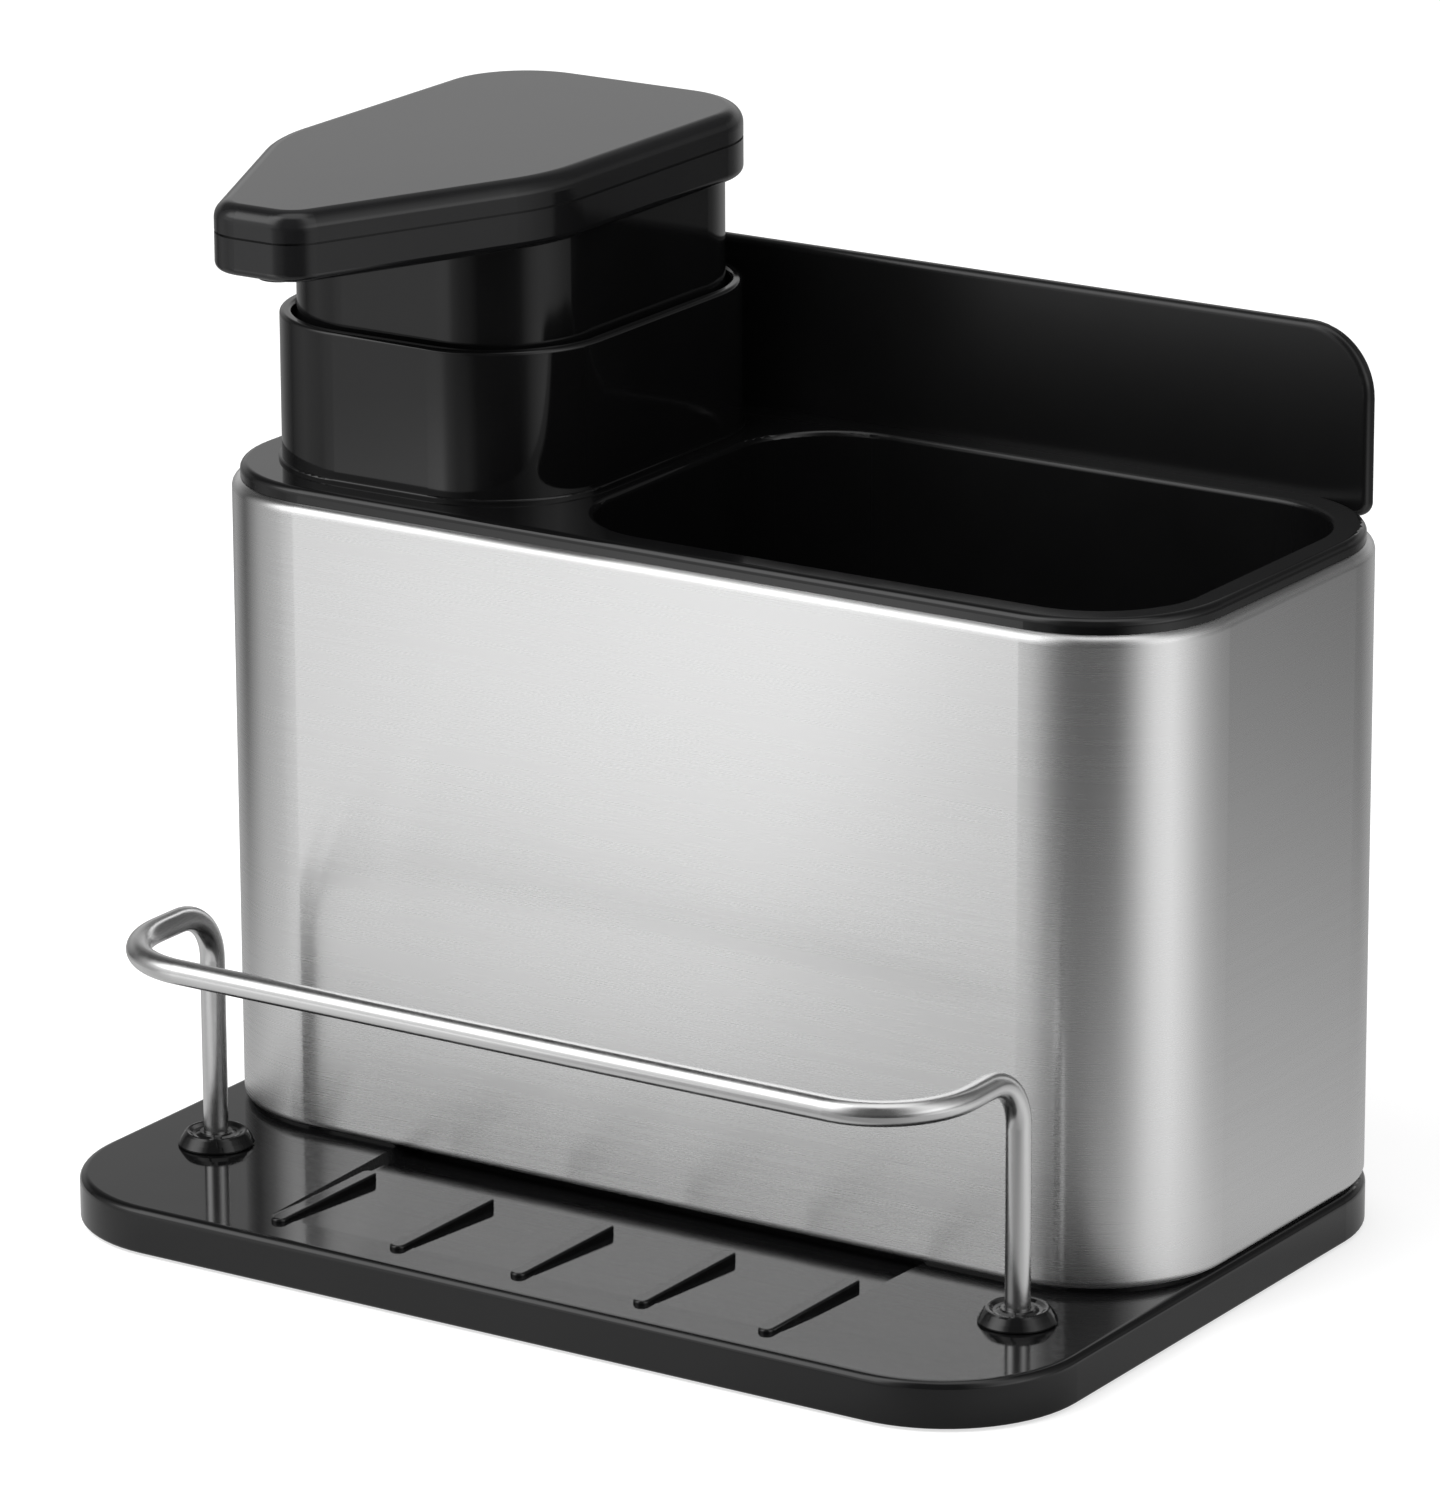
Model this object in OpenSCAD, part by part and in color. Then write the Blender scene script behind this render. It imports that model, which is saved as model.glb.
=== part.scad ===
// Soap pump caddy for a washbasin or sink: a steel-clad body with a soap pump and a brush well,
// standing on a tray with a drained sponge shelf and a wire rail.
// Millimetres, +Z up, front towards -Y. The origin is the middle of the footprint, on the surface.

/* [Body] */
// Width of the steel sleeve
body_w = 162.2; // [152:0.1:180]
// Depth of the steel sleeve, front to back
body_d = 77; // [72:0.5:90]
// Height of the steel sleeve
body_h = 93.65; // [85:0.05:120]
// Outside corner radius of the sleeve
body_r = 20.9; // [18:0.1:24]
// Thickness of the sleeve's sheet
sheet = 0.6; // [0.5:0.1:1]
// Outside radius of the rolled top edge of the sleeve
roll_r = 1.5; // [1.2:0.1:2]
// Width of the flat lip that follows the rolled top edge inwards
lip_w = 1.2; // [0.8:0.1:1.5]
// Width of the turned-in flange at the bottom of the sleeve
hem_w = 3; // [2.5:0.1:3.2]
// Outside radius of the bend at the bottom of the sleeve
hem_r = 1.2; // [1:0.1:1.5]

/* [Base tray] */
// How far the tray stands out beside the sleeve
base_side = 0.4; // [0.2:0.1:4]
// Depth of the shelf in front of the sleeve
shelf_d = 39.8; // [38.5:0.1:60]
// Thickness of the tray at its edge
base_t = 6.8; // [6:0.1:8]
// Front corner radius of the tray
base_front_r = 21; // [18:0.1:24]
// Rear corner radius of the tray
base_rear_r = 21.3; // [20:0.1:24]
// Height of the foot that lifts the sleeve off the tray
plinth_h = 0.4; // [0.3:0.05:3]
// How far the foot stands in from the sleeve's face
plinth_in = 1.2; // [0.8:0.1:2]
// Width of the wall of the foot
plinth_w = 3.3; // [3:0.1:3.3]
// Height of the rib that locates the sleeve from inside
locator_h = 4; // [3:0.1:6]

/* [Sponge ramp] */
// Width of the sloped drain ramp, along its floor
ramp_w = 86.4; // [80:0.1:100]
// Length of the ramp, from its front to the sleeve's face
ramp_l = 32; // [28:0.5:38]
// How deep the ramp is at its low end
ramp_drop = 1.25; // [0.8:0.05:2.4]
// Number of ribs
rib_n = 5; // [3:1:7]
// Distance between ribs
rib_pitch = 20.4; // [12:0.1:20.6]
// Width of a rib
rib_w = 2.4; // [2:0.1:4]
// Length of a rib
rib_l = 23.9; // [15:0.1:26]
// Height of a rib above the tray's edge
rib_h = 0.65; // [0.5:0.05:3]
// Distance from the front of the ramp to the ribs' front ends, forwards
rib_ahead = 2.2; // [0.5:0.1:3]

/* [Rail] */
// Diameter of the rail's wire
wire_d = 3.6; // [3:0.1:4.5]
// Distance from the tray's side to the legs
leg_in = 13.9; // [12:0.1:20]
// Distance from the sleeve's face to the legs
leg_out = 11.4; // [9:0.1:14]
// Height of the bar's middle above the tray
bar_h = 36; // [28:0.1:50]
// Distance from the sleeve's face to the bar
bar_out = 38; // [34:0.1:39.5]
// Bend radius at the top of the legs
leg_bend_r = 7.8; // [5:0.1:9]
// Bend radius at the ends of the bar
bar_bend_r = 13.7; // [8:0.1:16]
// Widest radius of a grommet
grommet_r = 5.55; // [4.8:0.05:6]
// Height of a grommet above the tray
grommet_h = 2.1; // [1.8:0.1:4]

/* [Rim, well and back panel] */
// Thickness of the rim above the sleeve
rim_t = 2.15; // [1.8:0.05:4]
// How far the rim stands in from the sleeve's face
rim_in = 1.2; // [0.8:0.1:2]
// Width of the land to the right of the brush well
well_side = 5.7; // [5.2:0.1:12]
// Width of the land in front of the brush well
well_front = 6.2; // [6:0.1:12]
// Width of the land behind the brush well
well_back = 6.3; // [6:0.1:12]
// Land between the soap tank and the brush well
well_gap = 3.4; // [3.2:0.1:10]
// Corner radius of the brush well
well_r = 15.5; // [10:0.5:18]
// Wall thickness of the brush well
well_wall = 1.8; // [1.5:0.1:2.2]
// Clear height under the floor of the brush well
well_lift = 7; // [6:0.5:20]
// Height of the back panel above the rim
panel_h = 25.15; // [15:0.1:40]
// How far the sides of the back panel stand in from the sleeve's
panel_in = 8.6; // [7:0.1:25]
// Thickness of the back panel
panel_t = 2.5; // [2:0.1:2.8]
// Top corner radius of the back panel
panel_r = 10.3; // [6:0.1:12]

/* [Soap tank] */
// Width of the tank and its collar
tank_w = 52.2; // [50:0.1:58]
// Clearance between the tank and the sleeve's rear lip
tank_clear = 0.5; // [0.4:0.1:3]
// Corner radius of the tank
tank_r = 18; // [16:0.1:20]
// Land between the sleeve's left face and the tank
tank_side = 5.5; // [5.2:0.1:10]
// Land between the sleeve's front face and the tank
tank_front = 6.8; // [6.6:0.1:7]
// Height of the collar above the rim
collar_h = 22; // [18:0.1:35]
// Wall thickness of the collar
tank_wall = 1.8; // [1.5:0.1:2]
// Width of the ledge inside the tank that carries the pump
ledge_w = 2; // [1.5:0.1:2.5]
// Width of the small foot flange that the collar hangs by
flange_w = 0.5; // [0.3:0.1:0.6]
// Height of the foot flange
flange_h = 0.6; // [0.5:0.1:1.5]

/* [Press head] */
// Travel of the press head
stroke = 12.5; // [8:0.5:13.5]
// Height of the press plate above the collar, at rest
head_rise = 15.1; // [14.5:0.1:20]
// Thickness of the lower half of the press plate
tray_t = 5.7; // [5.2:0.1:8]
// Thickness of the upper half of the press plate
cover_t = 4.2; // [4:0.1:7]
// How far the plate's sides stand in from the collar's
plate_in = 1.4; // [1:0.1:3]
// How far the plate's back stands in from the collar's
plate_back_in = 0.4; // [0.3:0.05:3]
// Distance from the collar's front to the shoulders of the plate, backwards
shoulder_in = 8.9; // [6:0.1:14]
// Reach of the nose in front of the collar
nose_reach = 30.3; // [20:0.1:32]
// Width of the nose before its corners are rounded
nose_w = 14; // [12:0.1:20]
// Rear corner radius of the plate
plate_rear_r = 13.9; // [8:0.1:15]
// Shoulder radius of the plate
plate_shoulder_r = 30; // [6:0.5:32]
// Nose corner radius of the plate
plate_nose_r = 6.5; // [4.5:0.1:7]
// Radius on the top edge of the plate
cover_edge_r = 2.5; // [0.8:0.1:2.6]
// Gap between the sliding skirt and the collar
skirt_gap = 0.7; // [0.4:0.1:1]
// Wall thickness of the skirt
skirt_wall = 1.6; // [1.4:0.1:2]
// How far the skirt reaches into the collar, at rest
skirt_lap = 15; // [10:0.5:17]
// Radius of the outlet tip
nozzle_r = 2.9; // [2.5:0.1:3.1]
// How far the outlet tip stands out under the plate
nozzle_out = 1.1; // [0.8:0.1:3]

/* [Pump] */
// Outside radius of the pump cylinder
cylinder_r = 9; // [8.5:0.1:11]
// Wall thickness of the pump cylinder
cylinder_wall = 1.5; // [1.2:0.1:1.8]
// Radius of the stem
stem_r = 4; // [3.6:0.1:4.2]
// Height of the piston
piston_h = 12; // [9:0.5:14]
// Radius of the inlet ball
foot_ball_r = 3; // [2.6:0.1:3.2]
// Lift of the inlet ball
foot_ball_lift = 1.2; // [0.8:0.1:2]
// Radius of the outlet ball
outlet_ball_r = 2.4; // [2.2:0.1:2.6]
// Lift of the outlet ball
outlet_ball_lift = 1; // [0.6:0.1:1.2]
// Outside radius of the dip tube
dip_r = 3.5; // [3.2:0.1:4]
// Wire radius of the return spring
spring_wire_r = 0.6; // [0.5:0.05:0.8]
// Number of turns of the return spring
spring_turns = 9; // [7:1:11]

/* [Hidden] */
$fn = 72;

// Overrun of cuts, and lap of shapes that are joined
lap = 0.5;
// Clearance round pieces that are dropped or pushed into place
fit_gap = 0.2;
// Radial clearance of running and push fits
running_gap = 0.05;
// Draw-in of straight pieces between the corners of a slanted outline
slant_tuck = 0.01;
tuck_run_share = 10;

// Rubber pads under the tray
pad_h = 0.4;
pad_sink = 0.8;
pad_r = 6.5;
pad_in_x = 16.5;
pad_in_y = 12.5;

// Levels, from the surface upwards
deck_z = pad_h + base_t;
sleeve_z = deck_z + plinth_h;
sleeve_top = sleeve_z + body_h;
rim_z = sleeve_top + rim_t;
collar_z = rim_z + collar_h;
head_z = collar_z + head_rise;
parting_z = head_z + tray_t;

// Plan of the tray and the body
base_w = body_w + 2 * base_side;
base_d = body_d + shelf_d;
back_y = base_d / 2;
face_y = back_y - body_d;
body_y = back_y - body_d / 2;
base_edge_r = 1.2;
base_foot_r = 0.5;

// Ramp and ribs
ramp_front_y = face_y - ramp_l;
ramp_under = 4.8;
ramp_flare_share = 1.45;
rib_edge_r = 0.4;

// Pockets under the tray
pocket_top = 2.2;
pocket_rib = 1.6;
pocket_nx = 6;
pocket_ny = 3;
pocket_wall = 2.2;

// Screws that hold the case together
screw_r = 1.5;
screw_l = 10;
screw_head_r = 2.8;
screw_head_h = 1.8;
screw_head_sink = 2.2;
screw_head_gap = 0.4;
screw_cross_w = 0.7;
screw_cross_l = 3;
screw_cross_h = 1;
post_r = 3.3;
post_in = 8.2;
boss_r = 4;
boss_in = 16;

// Soap tank
tank_d = body_d - tank_front - roll_r - lip_w - tank_clear;
tank_x = -body_w / 2 + tank_side + tank_w / 2;
tank_y = face_y + tank_front + tank_d / 2;
tank_lift = 7;
tank_floor = 2;
tank_z = deck_z + tank_lift;
lip_r = 0.6;

// Brush well
well_left = tank_x + tank_w / 2 + well_gap;
well_right = body_w / 2 - well_side;
well_w = well_right - well_left;
well_d = body_d - well_front - well_back;
well_x = (well_left + well_right) / 2;
well_y = face_y + well_front + well_d / 2;
well_floor = 2;
well_z = deck_z + well_lift;
well_mouth_r = 0.8;
drain_r = 2;
drain_nx = 3;
drain_ny = 2;
drain_pitch = 18;
rim_edge_r = 1.1;
rim_skirt_in = 3;
rim_skirt_w = 1.5;
rim_skirt_h = 9;
panel_edge_r = 1;
panel_w = body_w - 2 * panel_in;
panel_foot_r = 2;

// Rail, grommets and clips
leg_x = base_w / 2 - leg_in;
leg_y = face_y - leg_out;
bar_y = face_y - bar_out;
bar_z = deck_z + bar_h;
clip_sink = 1.6;
clip_t = 0.6;
clip_r = 5;
clip_room = 0.6;
leg_end_up = 0.3;
shank_r = 3;
// Half profile of a grommet: radius as a share of grommet_r, height as a share of grommet_h
grommet_shares = [[0.97, 0], [1, 0.08], [1, 0.18], [0.93, 0.5], [0.84, 0.85], [0.8, 0.97],
    [0.76, 1], [0.71, 0.96], [0.62, 0.8], [0.54, 0.76], [0.46, 0.86], [0.42, 0.95], [0.36, 0.95]];

// Skirt and the pump's seat in the tank
skirt_in = tank_wall + skirt_gap;
skirt_w = tank_w - 2 * skirt_in;
skirt_d = tank_d - 2 * skirt_in;
skirt_r = tank_r - skirt_in;
skirt_z = collar_z - skirt_lap;
skirt_top_t = 1.8;
skirt_top_w = 4;
skirt_room = 3.6;
plate_t = 2;
gasket_t = 1;
gasket_gap = 0.3;
plate_top = skirt_z - stroke - skirt_room;
ledge_z = plate_top - plate_t - gasket_t;
vent_r = 0.8;
vent_out = 17;

// Cylinder, cap and valves
neck_r = 14;
neck_h = 3;
rim_flange_r = 12;
rim_flange_t = 1.5;
cap_wall = 1.7;
cap_gap = 0.3;
cap_top_t = 2;
guide_h = 3.5;
guide_r = 5.2;
cylinder_top = plate_top + neck_h;
cap_z = cylinder_top + rim_flange_t;
spring_z = cap_z + cap_top_t;
bore_r = cylinder_r - cylinder_wall;
piston_room = 1.5;
piston_z = cap_z - piston_room - piston_h;
cage_room = 0.6;
cage_t = 1.5;
cage_ring_w = 1.8;
cage_arm_w = 1.6;
cage_n = 3;
seat_gap = 0.1;
ball_room = 0.17;
cage_z = piston_z - stroke - cage_room - cage_t;
foot_seat_r = 2.3;
foot_ball_up = sqrt(foot_ball_r * foot_ball_r - foot_seat_r * foot_seat_r) + seat_gap;
chamber_z = cage_z - ball_room - foot_ball_lift - foot_ball_r - foot_ball_up;
chamber_floor = 2;
spigot_r = 5.2;
spigot_l = 8;
dip_wall = 1;
dip_push = 6;
dip_short = 2.5;
spigot_z = chamber_z - chamber_floor - spigot_l;

// Piston and stem
piston_lip_h = 1.6;
piston_body_r = 6.4;
piston_floor = 1.5;
piston_inlet_r = 1.6;
seal_wire_r = 0.88;
seal_groove_h = 2.2;
stem_bore_r = 1.9;
valve_r = 2.75;
outlet_ball_up = sqrt(outlet_ball_r * outlet_ball_r - stem_bore_r * stem_bore_r) + seat_gap;
valve_depth = outlet_ball_up + outlet_ball_r + outlet_ball_lift + ball_room;

// Press plate
plate_wall = 1.8;
plate_floor_z = head_z + plate_wall;
tray_foot_r = 1.2;
groove_h = 0.35;
groove_w = 0.5;
spigot_rim_w = 1.2;
spigot_rim_h = 2;
socket_r = 5.4;
socket_h = 7;
spring_r = 6.4;
spring_end = 0.3;
stem_up = 1.2;
stem_top = plate_floor_z + stem_up;
valve_z = stem_top - valve_depth;

// Delivery channel and outlet
channel_r = 2.8;
channel_bore_r = 1.6;
riser_bore_r = 1.3;
channel_crown = 0.2;
elbow_r = 2;
channel_z = plate_floor_z + fit_gap + channel_r;
channel_socket_r = 5.5;
nozzle_bore_r = 1.7;
nozzle_flange_r = 3.3;
nozzle_flange_t = 0.8;
nozzle_in = 6.8;
nozzle_y = -(tank_d / 2 + nose_reach - nozzle_in);

// Screws between the press plate and the skirt
head_screw_r = 1.2;
head_screw_l = 8;
head_screw_head_r = 2.4;
head_screw_head_h = 1.4;
head_boss_r = 2.6;
head_boss_h = 8.6;
head_screw_in = 6;
head_screw_x = skirt_w / 2 - skirt_wall - head_screw_in;
head_screw_y = skirt_d / 2 - skirt_wall - head_screw_in;

// Corners of a rectangle round the origin, anticlockwise from the front left
function rect_pts(w, d) = [[-w / 2, -d / 2], [w / 2, -d / 2], [w / 2, d / 2], [-w / 2, d / 2]];
function same_r(r) = [r, r, r, r];
function heading(a, b) = (b - a) / norm(b - a);
function outward(v) = [v[1], -v[0]];
function angle_of(v) = atan2(v[1], v[0]);
function before(pts, i) = pts[(i + len(pts) - 1) % len(pts)];
function after(pts, i) = pts[(i + 1) % len(pts)];
function heading_in(pts, i) = heading(before(pts, i), pts[i]);
function heading_out(pts, i) = heading(pts[i], after(pts, i));
function turn_at(pts, i) = acos(heading_in(pts, i) * heading_out(pts, i));
function arc_start(pts, radii, i) =
    pts[i] - heading_in(pts, i) * radii[i] * tan(turn_at(pts, i) / 2);
function arc_end(pts, radii, i) =
    pts[i] + heading_out(pts, i) * radii[i] * tan(turn_at(pts, i) / 2);
function arc_centre(pts, radii, i) =
    arc_start(pts, radii, i) - outward(heading_in(pts, i)) * radii[i];

// The same outline, drawn in by a distance: its corners and its radii
function inset_pts(pts, by) = [for (i = [0:len(pts) - 1])
    let (m = outward(heading_in(pts, i)), n = outward(heading_out(pts, i)))
    pts[i] - by * (m + n) / (1 + m * n)];
function inset_r(radii, by) = [for (r = radii) r - by];

// Flat shape of a convex outline with rounded corners. Of each corner's circle only the slice
// round the corner is used, so that a large radius doesn't reach past the far side.
// The tuck draws the sides in a little.
module outline(pts, radii, tuck = 0) {
    polygon([for (i = [0:len(pts) - 1])
        for (p = [arc_start(pts, radii, i) - tuck * outward(heading_in(pts, i)),
            arc_end(pts, radii, i) - tuck * outward(heading_out(pts, i))]) p]);
    for (i = [0:len(pts) - 1]) {
        centre = arc_centre(pts, radii, i);
        slice = [centre, arc_start(pts, radii, i) - lap * heading_in(pts, i), pts[i],
            arc_end(pts, radii, i) + lap * heading_out(pts, i)];
        intersection() {
            translate(centre) circle(r = radii[i]);
            polygon([for (p = slice) centre + 2 * (p - centre)]);
        }
    }
}

// Upright prism of an outline, drawn in by a distance
module prism(pts, radii, z, h, by = 0, tuck = 0) {
    translate([0, 0, z]) linear_extrude(h)
        outline(inset_pts(pts, by), inset_r(radii, by), tuck);
}

// A profile carried round an outline: x points outwards from the outline, y points up.
// Where sides are slanted, each straight piece is drawn in by the tuck and runs on into its
// corners, so that no two faces lie almost on each other.
module carry(pts, radii, tuck = 0) {
    for (i = [0:len(pts) - 1]) {
        translate(arc_centre(pts, radii, i))
            rotate(angle_of(outward(heading_in(pts, i))))
                rotate_extrude(angle = turn_at(pts, i))
                    translate([radii[i], 0]) children();
        start = arc_end(pts, radii, i);
        stop = arc_start(pts, radii, (i + 1) % len(pts));
        run_on = tuck * tuck_run_share;
        translate(stop + run_on * heading_out(pts, i))
            rotate([90, 0, angle_of(outward(heading_out(pts, i)))])
                linear_extrude(norm(stop - start) + 2 * run_on)
                    translate([-tuck, 0]) children();
    }
}

// Quarter of a disc, to the right of the origin and above it
module quarter_disc(r) {
    intersection() {
        circle(r = r);
        square(r);
    }
}

// Profile of a band inside an outline, with rounded upper and lower outside edges
module band(w, h, top_r, foot_r) {
    middle = (h + foot_r - top_r) / 2;
    translate([-w, middle]) square([w - top_r, h - middle]);
    translate([-w, 0]) square([w - foot_r, middle]);
    translate([-w, foot_r]) square([w, h - foot_r - top_r]);
    if (top_r > 0) translate([-top_r, h - top_r]) quarter_disc(top_r);
    if (foot_r > 0) translate([-foot_r, foot_r]) circle(r = foot_r);
}

// Solid plate of an outline with rounded edges
module soft_plate(pts, radii, z, h, top_r, foot_r, tuck = 0) {
    reach = max(top_r, foot_r);
    prism(pts, radii, z, h, reach + lap / 2, tuck);
    translate([0, 0, z]) carry(pts, radii, tuck) band(reach + lap, h, top_r, foot_r);
}

// Cutter that rounds the mouth of an upright hole and opens it downwards
module mouth_cut(pts, radii, z, top, r) {
    prism(pts, radii, z, top + lap - z);
    translate([0, 0, top]) carry(pts, radii) difference() {
        translate([-lap, -r]) square([r + lap, r + lap]);
        translate([r, -r]) circle(r = r);
    }
}

// Round tube standing on z
module tube(r, bore, z, h) {
    translate([0, 0, z]) difference() {
        cylinder(h = h, r = r);
        translate([0, 0, -lap]) cylinder(h = h + 2 * lap, r = bore);
    }
}

// Outlines of the pieces
base_pts = rect_pts(base_w, base_d);
base_radii = [base_front_r, base_front_r, base_rear_r, base_rear_r];
body_pts = [for (p = rect_pts(body_w, body_d)) p + [0, body_y]];
body_radii = same_r(body_r);
tank_pts = [for (p = rect_pts(tank_w, tank_d)) p + [tank_x, tank_y]];
tank_radii = same_r(tank_r);
well_pts = [for (p = rect_pts(well_w, well_d)) p + [well_x, well_y]];
well_radii = same_r(well_r);
skirt_pts = inset_pts(tank_pts, skirt_in);
skirt_radii = same_r(skirt_r);
plate_half = tank_w / 2 - plate_in;
plate_pts = [
    [tank_x - nose_w / 2, tank_y - tank_d / 2 - nose_reach],
    [tank_x + nose_w / 2, tank_y - tank_d / 2 - nose_reach],
    [tank_x + plate_half, tank_y - tank_d / 2 + shoulder_in],
    [tank_x + plate_half, tank_y + tank_d / 2 - plate_back_in],
    [tank_x - plate_half, tank_y + tank_d / 2 - plate_back_in],
    [tank_x - plate_half, tank_y - tank_d / 2 + shoulder_in]];
plate_radii = [plate_nose_r, plate_nose_r, plate_shoulder_r, plate_rear_r, plate_rear_r,
    plate_shoulder_r];

// Places of the case screws: two posts between tank and well, two bosses under the well
post_x = (tank_x + tank_w / 2 + well_left) / 2;
post_places = [[post_x, face_y + post_in], [post_x, back_y - post_in]];
boss_places = [[well_right - boss_in, well_y - well_d / 2 + boss_in],
    [well_right - boss_in, well_y + well_d / 2 - boss_in]];
screw_places = concat(post_places, boss_places);
pad_places = [for (sx = [-1, 1]) for (sy = [-1, 1])
    [sx * (base_w / 2 - pad_in_x), sy * (base_d / 2 - pad_in_y)]];
leg_places = [[-leg_x, leg_y], [leg_x, leg_y]];
head_screw_places = [for (sx = [-1, 1]) for (sy = [-1, 1])
    [sx * head_screw_x, sy * head_screw_y]];

module at_each(places) {
    for (p = places) translate(p) children();
}

module at_pump() {
    translate([tank_x, tank_y]) children();
}

module rib() {
    half = rib_w / 2;
    rise = deck_z + rib_h;
    z = deck_z - ramp_drop - lap;
    front = ramp_front_y - rib_ahead + half;
    back = ramp_front_y - rib_ahead + rib_l - half;
    for (y = [front, back]) translate([0, y, z]) rotate_extrude()
        intersection() {
            translate([half, 0]) band(half, rise - z, rib_edge_r, 0);
            square([half, rise - z]);
        }
    translate([0, back, z]) rotate([90, 0, 0]) linear_extrude(back - front) {
        translate([half, 0]) band(half, rise - z, rib_edge_r, 0);
        mirror([1, 0]) translate([half, 0]) band(half, rise - z, rib_edge_r, 0);
    }
}

// The sides of the ramp flare outwards, and its low end runs on under the sleeve
module ramp_cut() {
    length = ramp_l + ramp_under;
    top = ramp_drop + plinth_h + lap;
    half = ramp_w / 2;
    flare = top * ramp_flare_share;
    translate([0, ramp_front_y, deck_z]) rotate([-atan(ramp_drop / length), 0, 0])
        translate([0, length, 0]) rotate([90, 0, 0]) linear_extrude(length)
            polygon([[-half, 0], [half, 0], [half + flare, top], [-half - flare, top]]);
}

module pockets() {
    head_room = screw_head_r + screw_head_gap + pocket_wall;
    room_x = 2 * (well_right - boss_in - head_room);
    front = post_in + head_room;
    room_y = body_d - 2 * front;
    cell_x = room_x / pocket_nx - pocket_rib;
    cell_y = room_y / pocket_ny - pocket_rib;
    for (i = [0:pocket_nx - 1]) for (j = [0:pocket_ny - 1])
        translate([-room_x / 2 + i * room_x / pocket_nx + pocket_rib / 2,
            face_y + front + j * room_y / pocket_ny + pocket_rib / 2, pad_h - lap])
            cube([cell_x, cell_y, base_t - pocket_top + lap]);
}

module base_tray() color([0.05, 0.05, 0.055]) {
    difference() {
        union() {
            soft_plate(base_pts, base_radii, pad_h, base_t, base_edge_r, base_foot_r);
            difference() {
                prism(body_pts, body_radii, deck_z - lap, plinth_h + lap, plinth_in);
                prism(body_pts, body_radii, deck_z - 2 * lap, plinth_h + 3 * lap,
                    plinth_in + plinth_w);
            }
            difference() {
                prism(body_pts, body_radii, deck_z - lap, plinth_h + locator_h + lap,
                    hem_w + fit_gap);
                prism(body_pts, body_radii, deck_z - 2 * lap, plinth_h + locator_h + 3 * lap,
                    post_in - post_r - 2 * fit_gap);
            }
        }
        ramp_cut();
        pockets();
        at_each(pad_places) translate([0, 0, pad_h - lap])
            cylinder(h = pad_sink + lap, r = pad_r + fit_gap);
        at_each(screw_places) {
            translate([0, 0, pad_h - lap])
                cylinder(h = screw_head_sink + lap, r = screw_head_r + screw_head_gap);
            translate([0, 0, pad_h]) cylinder(h = base_t + lap, r = screw_r + fit_gap);
        }
        at_each(leg_places) {
            translate([0, 0, pad_h - lap]) cylinder(h = clip_sink + lap, r = clip_r + clip_room);
            translate([0, 0, pad_h]) cylinder(h = base_t + lap, r = shank_r + running_gap);
        }
    }
    for (i = [0:rib_n - 1])
        translate([(i - (rib_n - 1) / 2) * rib_pitch, 0]) rib();
}

module base_pads() color([0.12, 0.12, 0.12]) {
    at_each(pad_places) {
        cylinder(h = pad_h + pad_sink, r = pad_r - pad_sink / 2);
        translate([0, 0, pad_h / 2]) cylinder(h = pad_h / 2 + pad_sink, r = pad_r);
    }
}

module case_screws() color([0.6, 0.6, 0.62]) {
    at_each(screw_places) {
        translate([0, 0, pad_h + screw_head_sink - screw_head_h]) difference() {
            cylinder(h = screw_head_h, r = screw_head_r);
            for (a = [0, 90]) rotate(a)
                translate([-screw_cross_l / 2, -screw_cross_w / 2, -lap])
                    cube([screw_cross_l, screw_cross_w, screw_cross_h + lap]);
        }
        translate([0, 0, pad_h + screw_head_sink])
            cylinder(h = screw_l, r = screw_r - running_gap);
    }
}

// Section of the sheet: hem at the foot, upright wall, rolled edge and lip at the top
module sleeve_section() {
    translate([-hem_w, 0]) square([hem_w - hem_r, sheet]);
    translate([-hem_r, hem_r]) mirror([0, 1]) sheet_bend(hem_r);
    translate([-sheet, hem_r]) square([sheet, body_h - roll_r - hem_r]);
    translate([-roll_r, body_h - roll_r]) sheet_bend(roll_r);
    translate([-roll_r - lip_w, body_h - sheet]) square([lip_w, sheet]);
}

module sheet_bend(r) {
    difference() {
        quarter_disc(r);
        circle(r = r - sheet);
    }
}

module steel_sleeve() color([0.75, 0.75, 0.76]) {
    translate([0, 0, sleeve_z]) carry(body_pts, body_radii) sleeve_section();
}

module back_panel() {
    height = rim_t + panel_h;
    pts = rect_pts(panel_w, height);
    radii = [panel_foot_r, panel_foot_r, panel_r, panel_r];
    translate([0, back_y, sleeve_top + height / 2]) rotate([90, 0, 0])
        soft_plate(pts, radii, 0, panel_t, panel_edge_r, panel_edge_r);
}

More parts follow.
